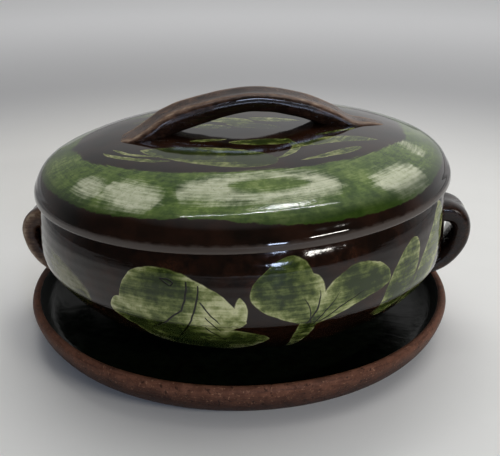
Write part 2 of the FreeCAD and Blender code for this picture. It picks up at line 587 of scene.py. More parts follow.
@dataclass(frozen=True)
class PotBowl:
    """Wide bellied pot with a fold under its belly and a rounded rim; heights are above its base."""

    height: float = 0.104
    level_height: float = 0.045
    lower: Line = (
        (0.0735, 0.0), (0.0768, 0.0010), (0.0868, 0.0080), (0.1003, 0.0160), (0.1138, 0.0240),
        (0.1240, 0.0322), (0.1318, 0.0400), (0.1370, 0.0467), (0.1401, 0.0516), (0.1418, 0.0548),
    )
    upper: Line = (
        (0.1418, 0.0548), (0.1427, 0.0590), (0.1431, 0.0650), (0.1431, 0.0720), (0.1428, 0.0785),
        (0.1423, 0.0836), (0.1415, 0.0882), (0.1403, 0.0922), (0.1388, 0.0956), (0.1376, 0.0982),
        (0.1368, 0.1003), (0.1364, 0.1022), (0.1361, 0.1040),
    )
    inside: Line = (
        (0.1352, 0.1040), (0.1341, 0.1030), (0.1338, 0.0990), (0.1335, 0.0880), (0.1349, 0.0720),
        (0.1345, 0.0600), (0.1320, 0.0510), (0.1250, 0.0430), (0.1150, 0.0340), (0.1000, 0.0235),
        (0.0880, 0.0155), (0.0780, 0.0105), (0.0700, 0.0091), (0.0600, 0.0090),
    )
    steady_foot: float = 0.03
    steady_rim: float = 0.008
    throwing_pitch: float = 0.0065
    throwing_depth: float = 0.00004
    throwing_drift: Unevenness = Unevenness(0.05, 5.0, 2.5)
    sway: Unevenness = Unevenness(0.07, 11.0, 0.0005)

    def lean(self, height: float) -> float:
        """Gives the lean of the ring at a height: none up to the fold, easing in to the mouth's."""
        share = clamped((height - self.level_height) / (self.height - self.level_height))
        return MOUTH_LEAN * share * share * (3 - 2 * share)

    def moved(self, point: Vector) -> Vector:
        """Shifts a point with the throwing lines and the sway, and leans its ring.

        Args:
            point: Point of the turned bowl.

        Returns:
            Its new place.
        """
        share = min(point.z / self.steady_foot, 1.0) * min((self.height - point.z) / self.steady_rim, 1.0)
        line = math.sin(math.tau * point.z / self.throwing_pitch + self.throwing_drift.at(point))
        shift = line * self.throwing_depth + self.sway.at(point)
        moved = point + outward(point) * shift * share
        lean = self.lean(point.z)
        lift = BASE_LEVEL + moved.z + moved.x * math.sin(lean)
        return Vector((moved.x * math.cos(lean), moved.y, lift))

    def mesh(self) -> Mesh:
        """Spins the bowl and leans it the way that it was thrown.

        Returns:
            Mesh in the frame's place.
        """
        floor_edge = self.inside[-1]
        foot = straight((0.0, 0.0), self.lower[0])
        wall = flowing_line(self.lower, PLAIN_STEPS) + flowing_line(self.upper, FINE_STEPS)[1:]
        rim = straight(self.upper[-1], self.inside[0])
        inside = flowing_line(self.inside, COARSE_STEPS)
        floor = straight(floor_edge, (0.0, floor_edge[1]))
        return shaped(lathe([foot, wall, rim, inside, floor]), self.moved)


@dataclass(frozen=True)
class EarHandle:
    """Clay strap bent to an ear; its path is a line of radius and height."""

    path: Line = (
        (0.1260, 0.0800), (0.1380, 0.0814), (0.1465, 0.0806), (0.1520, 0.0776), (0.1552, 0.0722),
        (0.1553, 0.0655), (0.1533, 0.0580), (0.1490, 0.0510), (0.1425, 0.0448), (0.1330, 0.0397),
        (0.1200, 0.0355),
    )
    path_steps: int = 12
    rounds: int = 56
    thickness: Line = ((0.0, 0.0170), (0.2, 0.0150), (0.5, 0.0144), (0.8, 0.0132), (1.0, 0.0090))
    width: Line = ((0.0, 0.0370), (0.2, 0.0335), (0.5, 0.0325), (0.75, 0.0340), (1.0, 0.0410))
    pivot: float = 0.0715
    corner: float = 0.62
    hollow: float = 0.0009
    hollow_width: float = 0.45
    swell: Unevenness = Unevenness(0.012, 2.0, 0.0004)
    # The left ear's outer face is made lighter than the right's: wear, and partly painted light on the lit
    # side.
    left_wear_and_light: Pair = (0.9, 0.52)
    right_wear: Pair = (0.4, 0.05)
    middle_wear: float = 0.35

    def wear(self, side: Side, across: float, out: float) -> float:
        """Gives how far the glaze is worn, most at the edges of the outer face; the left ear gets more,
        partly as painted light.

        Args:
            side: Side of the pot.
            across: Place across the strap, from -1 to 1.
            out: Place from the inner face, -1, to the outer face, 1.

        Returns:
            The wear.
        """
        face, edge = self.left_wear_and_light if side is Side.LEFT else self.right_wear
        share = self.middle_wear + (1 - self.middle_wear) * abs(across) ** 3
        return max(out, 0.0) * share * face + edge * abs(across) ** 4

    def mesh(self, side: Side) -> Mesh:
        """Rolls the ear of one side.

        Args:
            side: Side of the pot.

        Returns:
            Mesh in the frame's place.
        """
        line = flowing_line(self.path, self.path_steps)
        spans = len(line) - 1
        turn = Matrix.Rotation(math.radians(side.value), 4, "Z")
        level = Matrix.Translation((0.0, 0.0, self.pivot))
        set_on = level @ Matrix.Rotation(-MOUTH_LEAN, 4, "Y") @ level.inverted() @ turn

        def place(share: float, angle: float) -> tuple[Vector, float]:
            """Places a point of the ear.

            Args:
                share: Share along the strap.
                angle: Turn round its section.

            Returns:
                The point and its wear.
            """
            index = round(share * spans)
            run = (line[min(index + 1, spans)] - line[max(index - 1, 0)]).normalized()
            away = Vector((-run.y, 0.0, run.x))
            across, out = squared(angle, self.corner)
            hollow = self.hollow * math.exp(-(across / self.hollow_width) ** 2) if out > 0 else 0.0
            lift = out * eased(self.thickness, share) / 2 - hollow
            spot = Vector((line[index].x, 0.0, line[index].y)) + away * lift
            spot.y = across * eased(self.width, share) / 2
            spot += away * self.swell.at(spot + Vector((side.value, 0.0, 0.0)))
            return set_on @ spot, self.wear(side, across, out)

        return rolled_strap(spans, self.rounds, place)


@dataclass(frozen=True)
class LidShell:
    """Low domed lid with a lip and a dropped ring, in its own level frame on the mouth."""

    crown: float = 0.0305
    dome_power: float = 4.0
    dome_steps: int = 48
    shoulder: Line = (
        (0.1285, 0.01729), (0.1325, 0.0157), (0.1362, 0.0137), (0.1391, 0.0112), (0.1412, 0.0083),
        (0.1426, 0.0056), (0.1436, 0.0038), (0.1443, 0.0020), (0.1446, 0.0000), (0.1446, -0.0016),
        (0.1441, -0.0024), (0.1432, -0.0025), (0.1424, -0.0018), (0.1418, -0.0006), (0.1408, 0.0),
    )
    ring: Line = (
        (0.1334, 0.0), (0.1326, -0.0008), (0.1324, -0.0066), (0.1315, -0.0078), (0.1283, -0.0080),
        (0.1269, -0.0070), (0.1265, -0.0040), (0.1262, 0.0040), (0.1250, 0.0064),
    )
    inner_crown: float = 0.0225
    inner_power: float = 2.6
    inner_steps: int = 24
    steady_seat: float = 0.006
    broad_rise: Unevenness = Unevenness(0.045, 6.0, 0.00025)
    small_rise: Unevenness = Unevenness(0.014, 9.0, 0.00005)

    @staticmethod
    def on_mouth() -> Matrix:
        """Gives the turn and place of the lid's level frame on the leaning mouth."""
        return Matrix.Translation((0.0, 0.0, MOUTH_LEVEL)) @ Matrix.Rotation(-MOUTH_LEAN, 4, "Y")

    def moved(self, point: Vector) -> Vector:
        """Lifts a point unevenly, and not at all at the seat.

        Args:
            point: Point of the turned lid.

        Returns:
            Its new place in the lid's level frame.
        """
        lift = self.broad_rise.at(point) + self.small_rise.at(point)
        return point + Vector((0.0, 0.0, lift * clamped(point.z / self.steady_seat)))

    def mesh(self) -> Mesh:
        """Spins the lid and sets it on the mouth.

        Returns:
            Mesh in the frame's place.
        """
        top = dome_line(self.crown, self.shoulder[0], self.dome_power, self.dome_steps)
        top += flowing_line(self.shoulder, PLAIN_STEPS)[1:]
        seat = straight(self.shoulder[-1], self.ring[0])
        under = flowing_line(self.ring, COARSE_STEPS)
        under += dome_line(self.inner_crown, self.ring[-1], self.inner_power, self.inner_steps)[-2::-1]
        mesh = shaped(lathe([top, seat, under]), self.moved)
        bmesh.ops.transform(mesh, matrix=self.on_mouth(), verts=mesh.verts)
        return mesh


@dataclass(frozen=True)
class LidStrap:
    """Arched strap across the lid; its tables run along its own length."""

    centre: Pair = (0.005, 0.0)
    turn: float = 7.0
    lengths: int = 150
    rounds: int = 64
    top: Line = (
        (-0.0930, 0.0258), (-0.0860, 0.0288), (-0.0790, 0.0312), (-0.0660, 0.0388), (-0.0590, 0.0435),
        (-0.0470, 0.0483), (-0.0320, 0.0518), (-0.0160, 0.0545), (0.0, 0.0558), (0.0120, 0.0552),
        (0.0220, 0.0537), (0.0330, 0.0510), (0.0440, 0.0475), (0.0550, 0.0428), (0.0645, 0.0376),
        (0.0710, 0.0328), (0.0770, 0.0300), (0.0860, 0.0284), (0.1000, 0.0244),
    )
    under: Line = (
        (-0.0930, 0.0180), (-0.0640, 0.0270), (-0.0514, 0.0308), (-0.0400, 0.0342), (-0.0290, 0.0370),
        (-0.0186, 0.0396), (-0.0080, 0.0416), (0.0025, 0.0424), (0.0190, 0.0405), (0.0290, 0.0380),
        (0.0400, 0.0345), (0.0506, 0.0298), (0.0640, 0.0255), (0.1000, 0.0165),
    )
    width: Line = (
        (-0.0930, 0.0040), (-0.0880, 0.0110), (-0.0800, 0.0168), (-0.0700, 0.0172), (-0.0500, 0.0142),
        (0.0, 0.0130), (0.0500, 0.0135), (0.0680, 0.0152), (0.0760, 0.0150), (0.0860, 0.0110),
        (0.0950, 0.0075), (0.1000, 0.0030),
    )
    corner: float = 0.34
    undercut: float = 0.16
    brow: float = 0.1
    foot_level: float = 0.030
    foot_fade: float = 0.012
    front_drop: float = 0.10
    drop_reach: float = 0.010
    groove: float = 0.0011
    groove_middle: float = -0.001
    groove_width: float = 0.004
    rise: Unevenness = Unevenness(0.011, 4.0, 0.0003)
    sway: Unevenness = Unevenness(0.016, 7.0, 0.0002)
    # Wear on the strap's top and ridges; their paler tan is partly a painted sheen.
    crest_wear_and_sheen: float = 0.24
    ridges: Line = ((0.75, 0.4), (-0.75, 0.42))
    ridge_width: float = 0.25
    side_wear: float = 0.22
    crest_guard: float = 0.6
    glossy_reach: float = 0.032

    def spot(self, along: float, across: float, up: float) -> Vector:
        """Places a point of the strap in its own level frame.

        Args:
            along: Place along the strap.
            across: Place across it, from -1 to 1.
            up: Place from its underside, -1, to its top, 1.

        Returns:
            The point.
        """
        crest, belly = eased(self.top, along), eased(self.under, along)
        top_share = max(up, 0.0)
        pinch = self.undercut * (1.0 - up) / 2 + self.brow * top_share ** 2
        aside = across * eased(self.width, along) * (1.0 - pinch)
        foot = clamped((crest - self.foot_level) / self.foot_fade)
        groove = -self.groove * math.exp(-((aside - self.groove_middle) / self.groove_width) ** 2)
        drop = self.front_drop * min(aside, self.drop_reach)
        height = (crest + belly) / 2 + up * (crest - belly) / 2 + top_share * foot * (groove + drop)
        spot = Vector((along, aside, height))
        spot.z += self.rise.at(spot)
        spot.y += self.sway.at(spot)
        return spot

    def wear(self, along: float, across: float, up: float) -> float:
        """Gives how far the glaze is worn: on the top's ridges, whose paler tan is partly a painted sheen,
        and dull towards the feet.

        Args:
            along: Place along the strap.
            across: Place across it, from -1 to 1.
            up: Place from its underside, -1, to its top, 1.

        Returns:
            The wear.
        """
        crest = max(up, 0.0) ** 4
        ridge = sum(wear * math.exp(-((across - at) / self.ridge_width) ** 2) for at, wear in self.ridges)
        dull = 1.0 - math.exp(-(along / self.glossy_reach) ** 2)
        side = self.side_wear * dull * (1.0 + up) * (1.0 - self.crest_guard * crest)
        return crest * (self.crest_wear_and_sheen + ridge) + side

    def mesh(self) -> Mesh:
        """Rolls the strap and sets it on the lid.

        Returns:
            Mesh in the frame's place.
        """
        first, last = self.top[0][0], self.top[-1][0]
        turned = Matrix.Translation((*self.centre, 0.0)) @ Matrix.Rotation(math.radians(self.turn), 4, "Z")
        set_on = LidShell.on_mouth() @ turned

        def place(share: float, angle: float) -> tuple[Vector, float]:
            """Places a point of the strap.

            Args:
                share: Share along the strap.
                angle: Turn round its section.

            Returns:
                The point and its wear.
            """
            along = first + (last - first) * share
            section = squared(angle, self.corner)
            return set_on @ self.spot(along, *section), self.wear(along, *section)

        return rolled_strap(self.lengths, self.rounds, place)


@dataclass(frozen=True)
class GlazeSkin:
    """Hand-dipped glaze: clouds, mottle, specks and an uneven skin."""

    cloud: Pattern = Pattern(0.035, 3.0, 0.55, (0.3, 0.7))
    mottle: Pattern = Pattern(0.16, 6.0, 0.68, (0.28, 0.72))
    speck: Pattern = Pattern(0.75, 2.0, 0.6, (0.62, 0.72))
    peel_scale: float = 0.32
    peel_depth: float = 0.04
    grain_scale: float = 0.8
    grain_depth: float = 0.004
    wave_scale: float = 0.07
    wave_depth: float = 0.13

    def group(self) -> Tree:
        """Builds the shader group.

        Returns:
            Its tree.
        """
        outputs = dict.fromkeys(("Cloud", "Mottle", "Speck", "Skin"), "Float")
        wiring, feeds, sink = new_group("glaze_skin", {"Place": "Vector"}, outputs)
        place = feeds["Place"]
        peel = wiring.times(wiring.noise(place, self.peel_scale), self.peel_depth)
        grain = wiring.noise(place, self.grain_scale, 1.0)
        wave = wiring.noise(place, self.wave_scale, 1.0)
        results = {"Skin": wiring.weighed(peel, (grain, self.grain_depth), (wave, self.wave_depth))}
        for label, pattern in (("Cloud", self.cloud), ("Mottle", self.mottle), ("Speck", self.speck)):
            results[label] = wiring.mask(place, pattern)
        wiring.feed(sink, results)
        return wiring.tree


@dataclass(frozen=True)
class BrushMarks:
    """Marks that run round the axis, as a brush or rib leaves them on a turning pot."""

    mark: Pattern = Pattern(1.0, 4.0, 0.6, (0.28, 0.72))

    def group(self) -> Tree:
        """Builds the shader group.

        Returns:
            Its tree.
        """
        inputs = {"Place": "Vector", "Across": "Float", "Around": "Float", "Fineness": "Float"}
        wiring, feeds, sink = new_group("brush_marks", inputs, {"Mark": "Float"})
        x, y, _ = wiring.parts(feeds["Place"])
        ring = wiring.scaled(wiring.vector("NORMALIZE", wiring.joined(x, y)), feeds["Around"])
        rise = wiring.joined(0.0, 0.0, wiring.times(feeds["Across"], feeds["Fineness"]))
        wiring.feed(sink, {"Mark": wiring.mask(wiring.vector("ADD", ring, rise), self.mark)})
        return wiring.tree


def painted_stroke() -> Tree:
    """Builds the group that tells how deep a point lies inside one brush stroke, in millimetres.

    Returns:
        Its tree.
    """
    inputs = {"Place": "Vector", "Root": "Vector", "Tip": "Vector"}
    inputs |= dict.fromkeys(("Fullness", "Bend", "Root Power", "Tip Power"), "Float")
    wiring, feeds, sink = new_group("painted_stroke", inputs, {"Depth": "Float"})
    axis = wiring.vector("SUBTRACT", feeds["Tip"], feeds["Root"])
    length = wiring.vector("LENGTH", axis)
    heading = wiring.vector("NORMALIZE", axis)
    reach = wiring.vector("SUBTRACT", feeds["Place"], feeds["Root"])
    run = wiring.sum("DIVIDE", wiring.vector("DOT_PRODUCT", reach, heading), length)
    aside = wiring.parts(wiring.vector("CROSS_PRODUCT", heading, reach))[2]
    share = wiring.add("Clamp", {0: run}).outputs[0]
    left = wiring.sum("SUBTRACT", 1.0, share)
    # The factor 4 brings the arch to 1 at the stroke's middle.
    arch = wiring.times(wiring.times(share, left), 4.0)
    off = wiring.sum("ABSOLUTE", wiring.sum("SUBTRACT", aside, wiring.times(arch, feeds["Bend"])))
    swell = wiring.sum("POWER", share, feeds["Root Power"])
    taper = wiring.sum("POWER", left, feeds["Tip Power"])
    half = wiring.times(wiring.times(swell, taper), feeds["Fullness"])
    past = wiring.times(wiring.sum("ABSOLUTE", wiring.sum("SUBTRACT", run, share)), length)
    wiring.feed(sink, {"Depth": wiring.sum("SUBTRACT", wiring.sum("SUBTRACT", half, off), past)})
    return wiring.tree


@dataclass(frozen=True)
class LeafSlip:
    """Green slip under the glaze; its tone runs from thin and pale, 0, to thick and dark, 1."""

    raggedness: float = 0.7
    edge: Pair = (-0.45, 0.35)
    middle_tone: float = 0.5
    core: Pair = (0.2, 8.0)
    core_weight: float = 0.3
    rim: Pair = (0.9, 0.3)
    rim_weight: float = -0.16
    thin_weight: float = -0.52
    mottle_weight: float = 0.46
    cloud_weight: float = 0.62
    mark_weight: float = 0.38
    stops: Stops = (
        (0.0, (208, 206, 154)), (0.12, (188, 188, 134)), (0.32, (154, 158, 100)), (0.57, (106, 116, 58)),
        (0.81, (68, 80, 32)), (1.0, (42, 55, 21)),
    )

    def group(self) -> Tree:
        """Builds the shader group that tells where the slip covers, and its mottled colour.

        Returns:
            Its tree.
        """
        inputs = dict.fromkeys(("Depth", "Mottle", "Cloud", "Mark", "Thin"), "Float")
        wiring, feeds, sink = new_group("painted_leaf", inputs, {"Cover": "Float", "Colour": "Color"})
        ragged = wiring.stirred(feeds["Depth"], (feeds["Mottle"], self.raggedness))
        core, rim = wiring.ramp(ragged, *self.core), wiring.ramp(ragged, *self.rim)
        weights = ((core, self.core_weight), (rim, self.rim_weight), (feeds["Thin"], self.thin_weight))
        patterns = (
            (feeds["Mottle"], self.mottle_weight), (feeds["Cloud"], self.cloud_weight),
            (feeds["Mark"], self.mark_weight),
        )
        tone = wiring.stirred(wiring.weighed(self.middle_tone, *weights), *patterns)
        cover = wiring.ramp(ragged, *self.edge)
        wiring.feed(sink, {"Cover": cover, "Colour": wiring.tones(tone, self.stops)})
        return wiring.tree


@dataclass(frozen=True)
class Groups:
    """Shader groups that the finishes share."""

    skin: Tree
    marks: Tree
    stroke: Tree
    leaf: Tree


@dataclass(frozen=True)
class Stroke:
    """One stroke of a loaded brush, in millimetres on its own flat layout."""

    root: Pair
    tip: Pair
    width: float
    bend: float = 0.0
    root_power: float = 0.6
    tip_power: float = 0.6

    def feeds(self, place: Socket) -> dict[str, Feed]:
        """Gives what the stroke's group is fed.

        Args:
            place: Point of the layout.

        Returns:
            Values and sockets by input name.
        """
        whole = self.root_power + self.tip_power
        peak = (self.root_power / whole) ** self.root_power * (self.tip_power / whole) ** self.tip_power
        return {
            "Place": place, "Root": (*self.root, 0.0), "Tip": (*self.tip, 0.0),
            "Fullness": self.width / peak, "Bend": self.bend,
            "Root Power": self.root_power, "Tip Power": self.tip_power,
        }


class Coat:
    """The shared patterns of one finish, at the place on its piece."""

    sway_scale: float = 0.09

    def __init__(self, wiring: Wiring, groups: Groups, place: Socket) -> None:
        """Places the skin's group.

        Args:
            wiring: Tree of the finish.
            groups: Shared shader groups.
            place: Place on the piece in millimetres.
        """
        self.wiring, self.groups, self.place = wiring, groups, place
        skin = wiring.group(groups.skin, {"Place": place}).outputs
        self.cloud, self.mottle, self.speck = skin["Cloud"], skin["Mottle"], skin["Speck"]
        self.skin, self.mark = skin["Skin"], None

    def brush(self, across: Socket, around: float, fineness: float) -> None:
        """Adds brush marks that follow each other across a height or a radius."""
        feeds = {"Place": self.place, "Across": across, "Around": around, "Fineness": fineness}
        self.mark = self.wiring.group(self.groups.marks, feeds).outputs["Mark"]

    def pairs(self, weights: Weights) -> list[tuple[Socket, float]]:
        """Gives the patterns that count, each with its weight."""
        pairs = ((self.mottle, weights.mottle), (self.mark, weights.mark), (self.cloud, weights.cloud))
        return [pair for pair in pairs if pair[1]]

    def weighed(self, base: Feed, weights: Weights) -> Feed:
        """Adds the weighted patterns to a base."""
        return self.wiring.weighed(base, *self.pairs(weights))

    def stirred(self, base: Feed, weights: Weights) -> Feed:
        """Shifts a base by how far the patterns lie from their middle."""
        return self.wiring.stirred(base, *self.pairs(weights))

    def deepest(self, place: Socket, *strokes: Stroke) -> Socket:
        """Gives how deep a point lies inside any of several strokes.

        Args:
            place: Point of the strokes' layout.
            strokes: Strokes to look through.

        Returns:
            Depth in millimetres, below 0 outside.
        """
        depths = [self.wiring.group(self.groups.stroke, stroke.feeds(place)).outputs[0] for stroke in strokes]
        depth = depths[0]
        for other in depths[1:]:
            depth = self.wiring.sum("MAXIMUM", depth, other)
        return depth

    def unsteady(self, place: Socket, sway: float) -> Socket:
        """Sways a layout's points a little, so that strokes get a hand's unsteady edge.

        Args:
            place: Point of the layout.
            sway: Largest shift in millimetres.

        Returns:
            The shifted point.
        """
        feeds = {"Vector": self.place, "Scale": self.sway_scale, "Detail": 2.0}
        drift = self.wiring.add("TexNoise", feeds).outputs["Color"]
        centred = self.wiring.vector("SUBTRACT", drift, (0.5, 0.5, 0.5))
        x, y, _ = self.wiring.parts(self.wiring.scaled(centred, 2 * sway))
        return self.wiring.vector("ADD", place, self.wiring.joined(x, y))

    def leaf(self, depth: Socket, thin: Feed) -> bpy.types.Node:
        """Places green slip and returns its node."""
        patterns = {"Mottle": self.mottle, "Cloud": self.cloud, "Mark": self.mark}
        return self.wiring.group(self.groups.leaf, {"Depth": depth, "Thin": thin, **patterns})


@dataclass(frozen=True)
class LidGlaze:
    """Green glaze brushed round the lid, with a dark disc on top and a dark band at the edge."""

    ground: Shades = ((15, 9, 5), (42, 23, 14))
    underside: Shades = ((88, 54, 34), (42, 23, 14))
    underside_levels: Pair = (1.2, 1.8)
    # Painted sheen: the lip's rolled lower edge is made a paler grey-brown, as if it caught the light.
    lip: Paint = Paint((80, 70, 62), 0.8, (4.2, 1.6))
    lip_raggedness: Weights = Weights(mottle=1.2)
    clay: Paint = Paint((128, 84, 62), 1.0, (0.2, 0.8))
    greens: Stops = (
        (0.0, (32, 50, 10)), (0.3, (58, 82, 24)), (0.55, (92, 114, 46)), (0.78, (130, 146, 80)),
        (1.0, (180, 188, 132)),
    )
    least_green: float = 0.06
    green_weights: Weights = Weights(mottle=0.36, mark=0.18, cloud=0.26)
    brush_around: float = 3.6
    brush_fineness: float = 0.6
    speck: Paint = Paint((30, 40, 14), 0.55)
    shade: Paint = Paint((30, 46, 10), 0.72, (18.0, 12.0))
    # Pale glaze of the patches, brightened so that it also carries a painted reflection.
    pale: Shades = ((176, 182, 144), (228, 228, 200))
    pale_weights: Weights = Weights(mottle=0.6, mark=0.4)
    pale_raggedness: Weights = Weights(mottle=3.5, mark=6.0)
    pale_levels: Pair = (-6.0, 7.0)
    pale_strength: float = 0.85
    core_weight: float = -1.5
    disc_centre: Pair = (-1.0, 9.0)
    disc_reach: Pair = (116.0, 99.0)
    disc_raggedness: Weights = Weights(mark=0.022, cloud=0.03)
    disc_edge: Pair = (1.012, 0.988)
    leaf_edge: Pair = (0.97, 0.93)
    leaf_strength: float = 0.85
    leaf_thinness: float = -0.3
    leaf_sway: float = 1.6
    band_top: float = 20.0
    band_edge: Pair = (-0.35, 0.35)
    band_raggedness: Weights = Weights(mottle=1.2)
    band_line: Line = (
        (-180, 11.5), (-110, 12.0), (-70, 12.3), (-50, 12.5), (-39, 12.2), (-29, 13.1), (-19, 14.0),
        (-9, 14.8), (0, 13.5), (9, 11.4), (18.5, 9.7), (29, 8.7), (41, 8.2), (52, 8.7), (66, 11.2),
        (110, 12.0), (180, 11.5),
    )
    least_roughness: float = 0.03
    roughness_weights: Weights = Weights(mottle=0.05)
    relief_weights: Weights = Weights(mark=0.012)
    relief: float = 0.35
    leaves: tuple[Stroke, ...] = (
        Stroke((24, -77), (-65, -43), 15.0, 2.0, 0.5, 0.8),
        Stroke((24, -71), (30, -34), 2.4, -9.0, 0.3, 0.3),
        Stroke((34, -41), (-7, -38), 6.5, 0.0, 0.5, 0.7),
        Stroke((37, -51), (91, -32), 6.0, 5.0, 0.6, 0.7),
        Stroke((38, -75), (78, -49), 3.4, -1.5, 1.1, 0.5),
        Stroke((50, -27), (79, -9), 1.5, -1.0, 0.5, 0.5),
        Stroke((28, -6), (-10, 8), 6.5, 1.0),
        Stroke((-42, 8), (-6, -3), 5.0, 1.0),
        Stroke((-90, -38), (-43, -68), 2.0, -4.5),
        Stroke((-84, -34), (-52, -58), 1.4, -3.0),
        Stroke((-33, -32), (-9, -31), 2.6),
    )
    pale_patches: tuple[Stroke, ...] = (
        Stroke((-99, -72), (-84, -94), 6.0, 0.0, 0.4, 0.4),
        Stroke((-80, -88), (-46, -116), 10.0, -2.0, 0.4, 0.4),
        Stroke((-33, -109), (60, -102), 14.0, -1.5, 0.45, 0.45),
        # Painted reflection: the bright spot at the ring's left end.
        Stroke((-36, -110), (-10, -106), 9.0, 0.0, 0.4, 0.4),
        Stroke((82, -97), (112, -67), 10.0, -2.0, 0.4, 0.4),
        Stroke((106, -24), (118, -44), 4.0, 0.0, 0.4, 0.4),
        Stroke((-98, 72), (-50, 106), 9.0, 4.0, 0.4, 0.4),
        Stroke((-30, 112), (24, 118), 6.0, 2.0, 0.4, 0.4),
        Stroke((46, 108), (96, 74), 9.0, 4.0, 0.4, 0.4),
    )
    green_core: Stroke = Stroke((-6, -107), (42, -103), 8.0, -1.0, 0.5, 0.5)

    def green(self, coat: Coat, flat: Socket, height: Socket) -> Socket:
        """Gives the brushed green with its pale patches, partly a painted reflection, darker towards the
        edge.

        Args:
            coat: Shared patterns.
            flat: Place on the lid without its height.
            height: Height on the lid.

        Returns:
            The colour.
        """
        wiring = coat.wiring
        core = wiring.times(coat.deepest(flat, self.green_core), self.core_weight)
        patch = wiring.sum("MINIMUM", coat.deepest(flat, *self.pale_patches), core)
        loose = coat.stirred(patch, self.pale_raggedness)
        pale_share = wiring.times(wiring.ramp(loose, *self.pale_levels), self.pale_strength)
        green = wiring.tones(coat.weighed(self.least_green, self.green_weights), self.greens)
        pale = wiring.between(coat.weighed(0.0, self.pale_weights), self.pale)
        green = wiring.painted(wiring.mix(pale_share, green, pale), coat.speck, self.speck)
        return wiring.painted(green, height, self.shade)

    def disc(self, coat: Coat, flat: Socket) -> Socket:
        """Gives how far out a point lies on the dark disc: 1 at its uneven edge.

        Args:
            coat: Shared patterns.
            flat: Place on the lid without its height.

        Returns:
            Share of the disc's reach.
        """
        wiring = coat.wiring
        offset = wiring.vector("SUBTRACT", flat, (*self.disc_centre, 0.0))
        reach = wiring.vector("LENGTH", wiring.vector("DIVIDE", offset, (*self.disc_reach, 1.0)))
        return coat.stirred(reach, self.disc_raggedness)

    def folded(self, wiring: Wiring, x: Socket, y: Socket) -> Socket:
        """Turns the back half of the disc onto its front half, so that both carry the leaves.

        Args:
            wiring: Tree of the finish.
            x: Place towards the right.
            y: Place towards the back.

        Returns:
            Point of the leaves' layout.
        """
        middle = self.disc_centre[1]
        before = wiring.sum("SUBTRACT", middle, y)
        turned_x = wiring.times(x, wiring.sum("SIGN", before))
        return wiring.joined(turned_x, wiring.sum("SUBTRACT", middle, wiring.sum("ABSOLUTE", before)))

    def band(self, coat: Coat, azimuth: Socket, height: Socket) -> Socket:
        """Gives where the dark band covers the lid's edge.

        Args:
            coat: Shared patterns.
            azimuth: Turn from the front in radians.
            height: Height on the lid.

        Returns:
            Mask of the band.
        """
        wiring = coat.wiring
        points = [(turn / 360 + 0.5, level / self.band_top) for turn, level in self.band_line]
        line = wiring.curve(wiring.weighed(0.5, (azimuth, 1 / math.tau)), points)
        line = coat.stirred(wiring.times(line, self.band_top), self.band_raggedness)
        return wiring.ramp(wiring.sum("SUBTRACT", line, height), *self.band_edge)

    def material(self, groups: Groups) -> bpy.types.Material:
        """Builds the finish.

        Args:
            groups: Shared shader groups.

        Returns:
            The material.
        """
        material, wiring = new_finish("lid_glaze")
        mouth = (0.0, 0.0, MILLIMETRES_PER_METRE * MOUTH_LEVEL)
        feeds = {"Vector": wiring.millimetres(), "Location": mouth, "Rotation": (0.0, -MOUTH_LEAN, 0.0)}
        place = wiring.add("Mapping", feeds, vector_type="TEXTURE").outputs[0]
        x, y, z = wiring.parts(place)
        flat = wiring.joined(x, y)
        coat = Coat(wiring, groups, place)
        coat.brush(wiring.vector("LENGTH", flat), self.brush_around, self.brush_fineness)

        brown = wiring.between(coat.cloud, self.ground)
        disc = self.disc(coat, flat)
        colour = wiring.mix(wiring.ramp(disc, *self.disc_edge), self.green(coat, flat, z), brown)
        layout = coat.unsteady(self.folded(wiring, x, y), self.leaf_sway)
        leaf = coat.leaf(coat.deepest(layout, *self.leaves), self.leaf_thinness)
        on_disc = wiring.times(leaf.outputs["Cover"], wiring.ramp(disc, *self.leaf_edge))
        colour = wiring.mix(wiring.times(on_disc, self.leaf_strength), colour, leaf.outputs["Colour"])
        colour = wiring.mix(self.band(coat, wiring.azimuth(x, y), z), colour, brown)
        # Painted sheen along the lip's rolled lower edge.
        colour = wiring.painted(colour, coat.weighed(z, self.lip_raggedness), self.lip)

        zone = wiring.layer("zone")
        colour = wiring.painted(colour, zone, self.clay)
        underside = wiring.between(coat.mottle, self.underside)
        colour = wiring.mix(wiring.ramp(zone, *self.underside_levels), colour, underside)
        roughness = coat.weighed(self.least_roughness, self.roughness_weights)
        height = wiring.times(coat.weighed(coat.skin, self.relief_weights), self.relief)
        wiring.surface(colour, roughness, height)
        return material


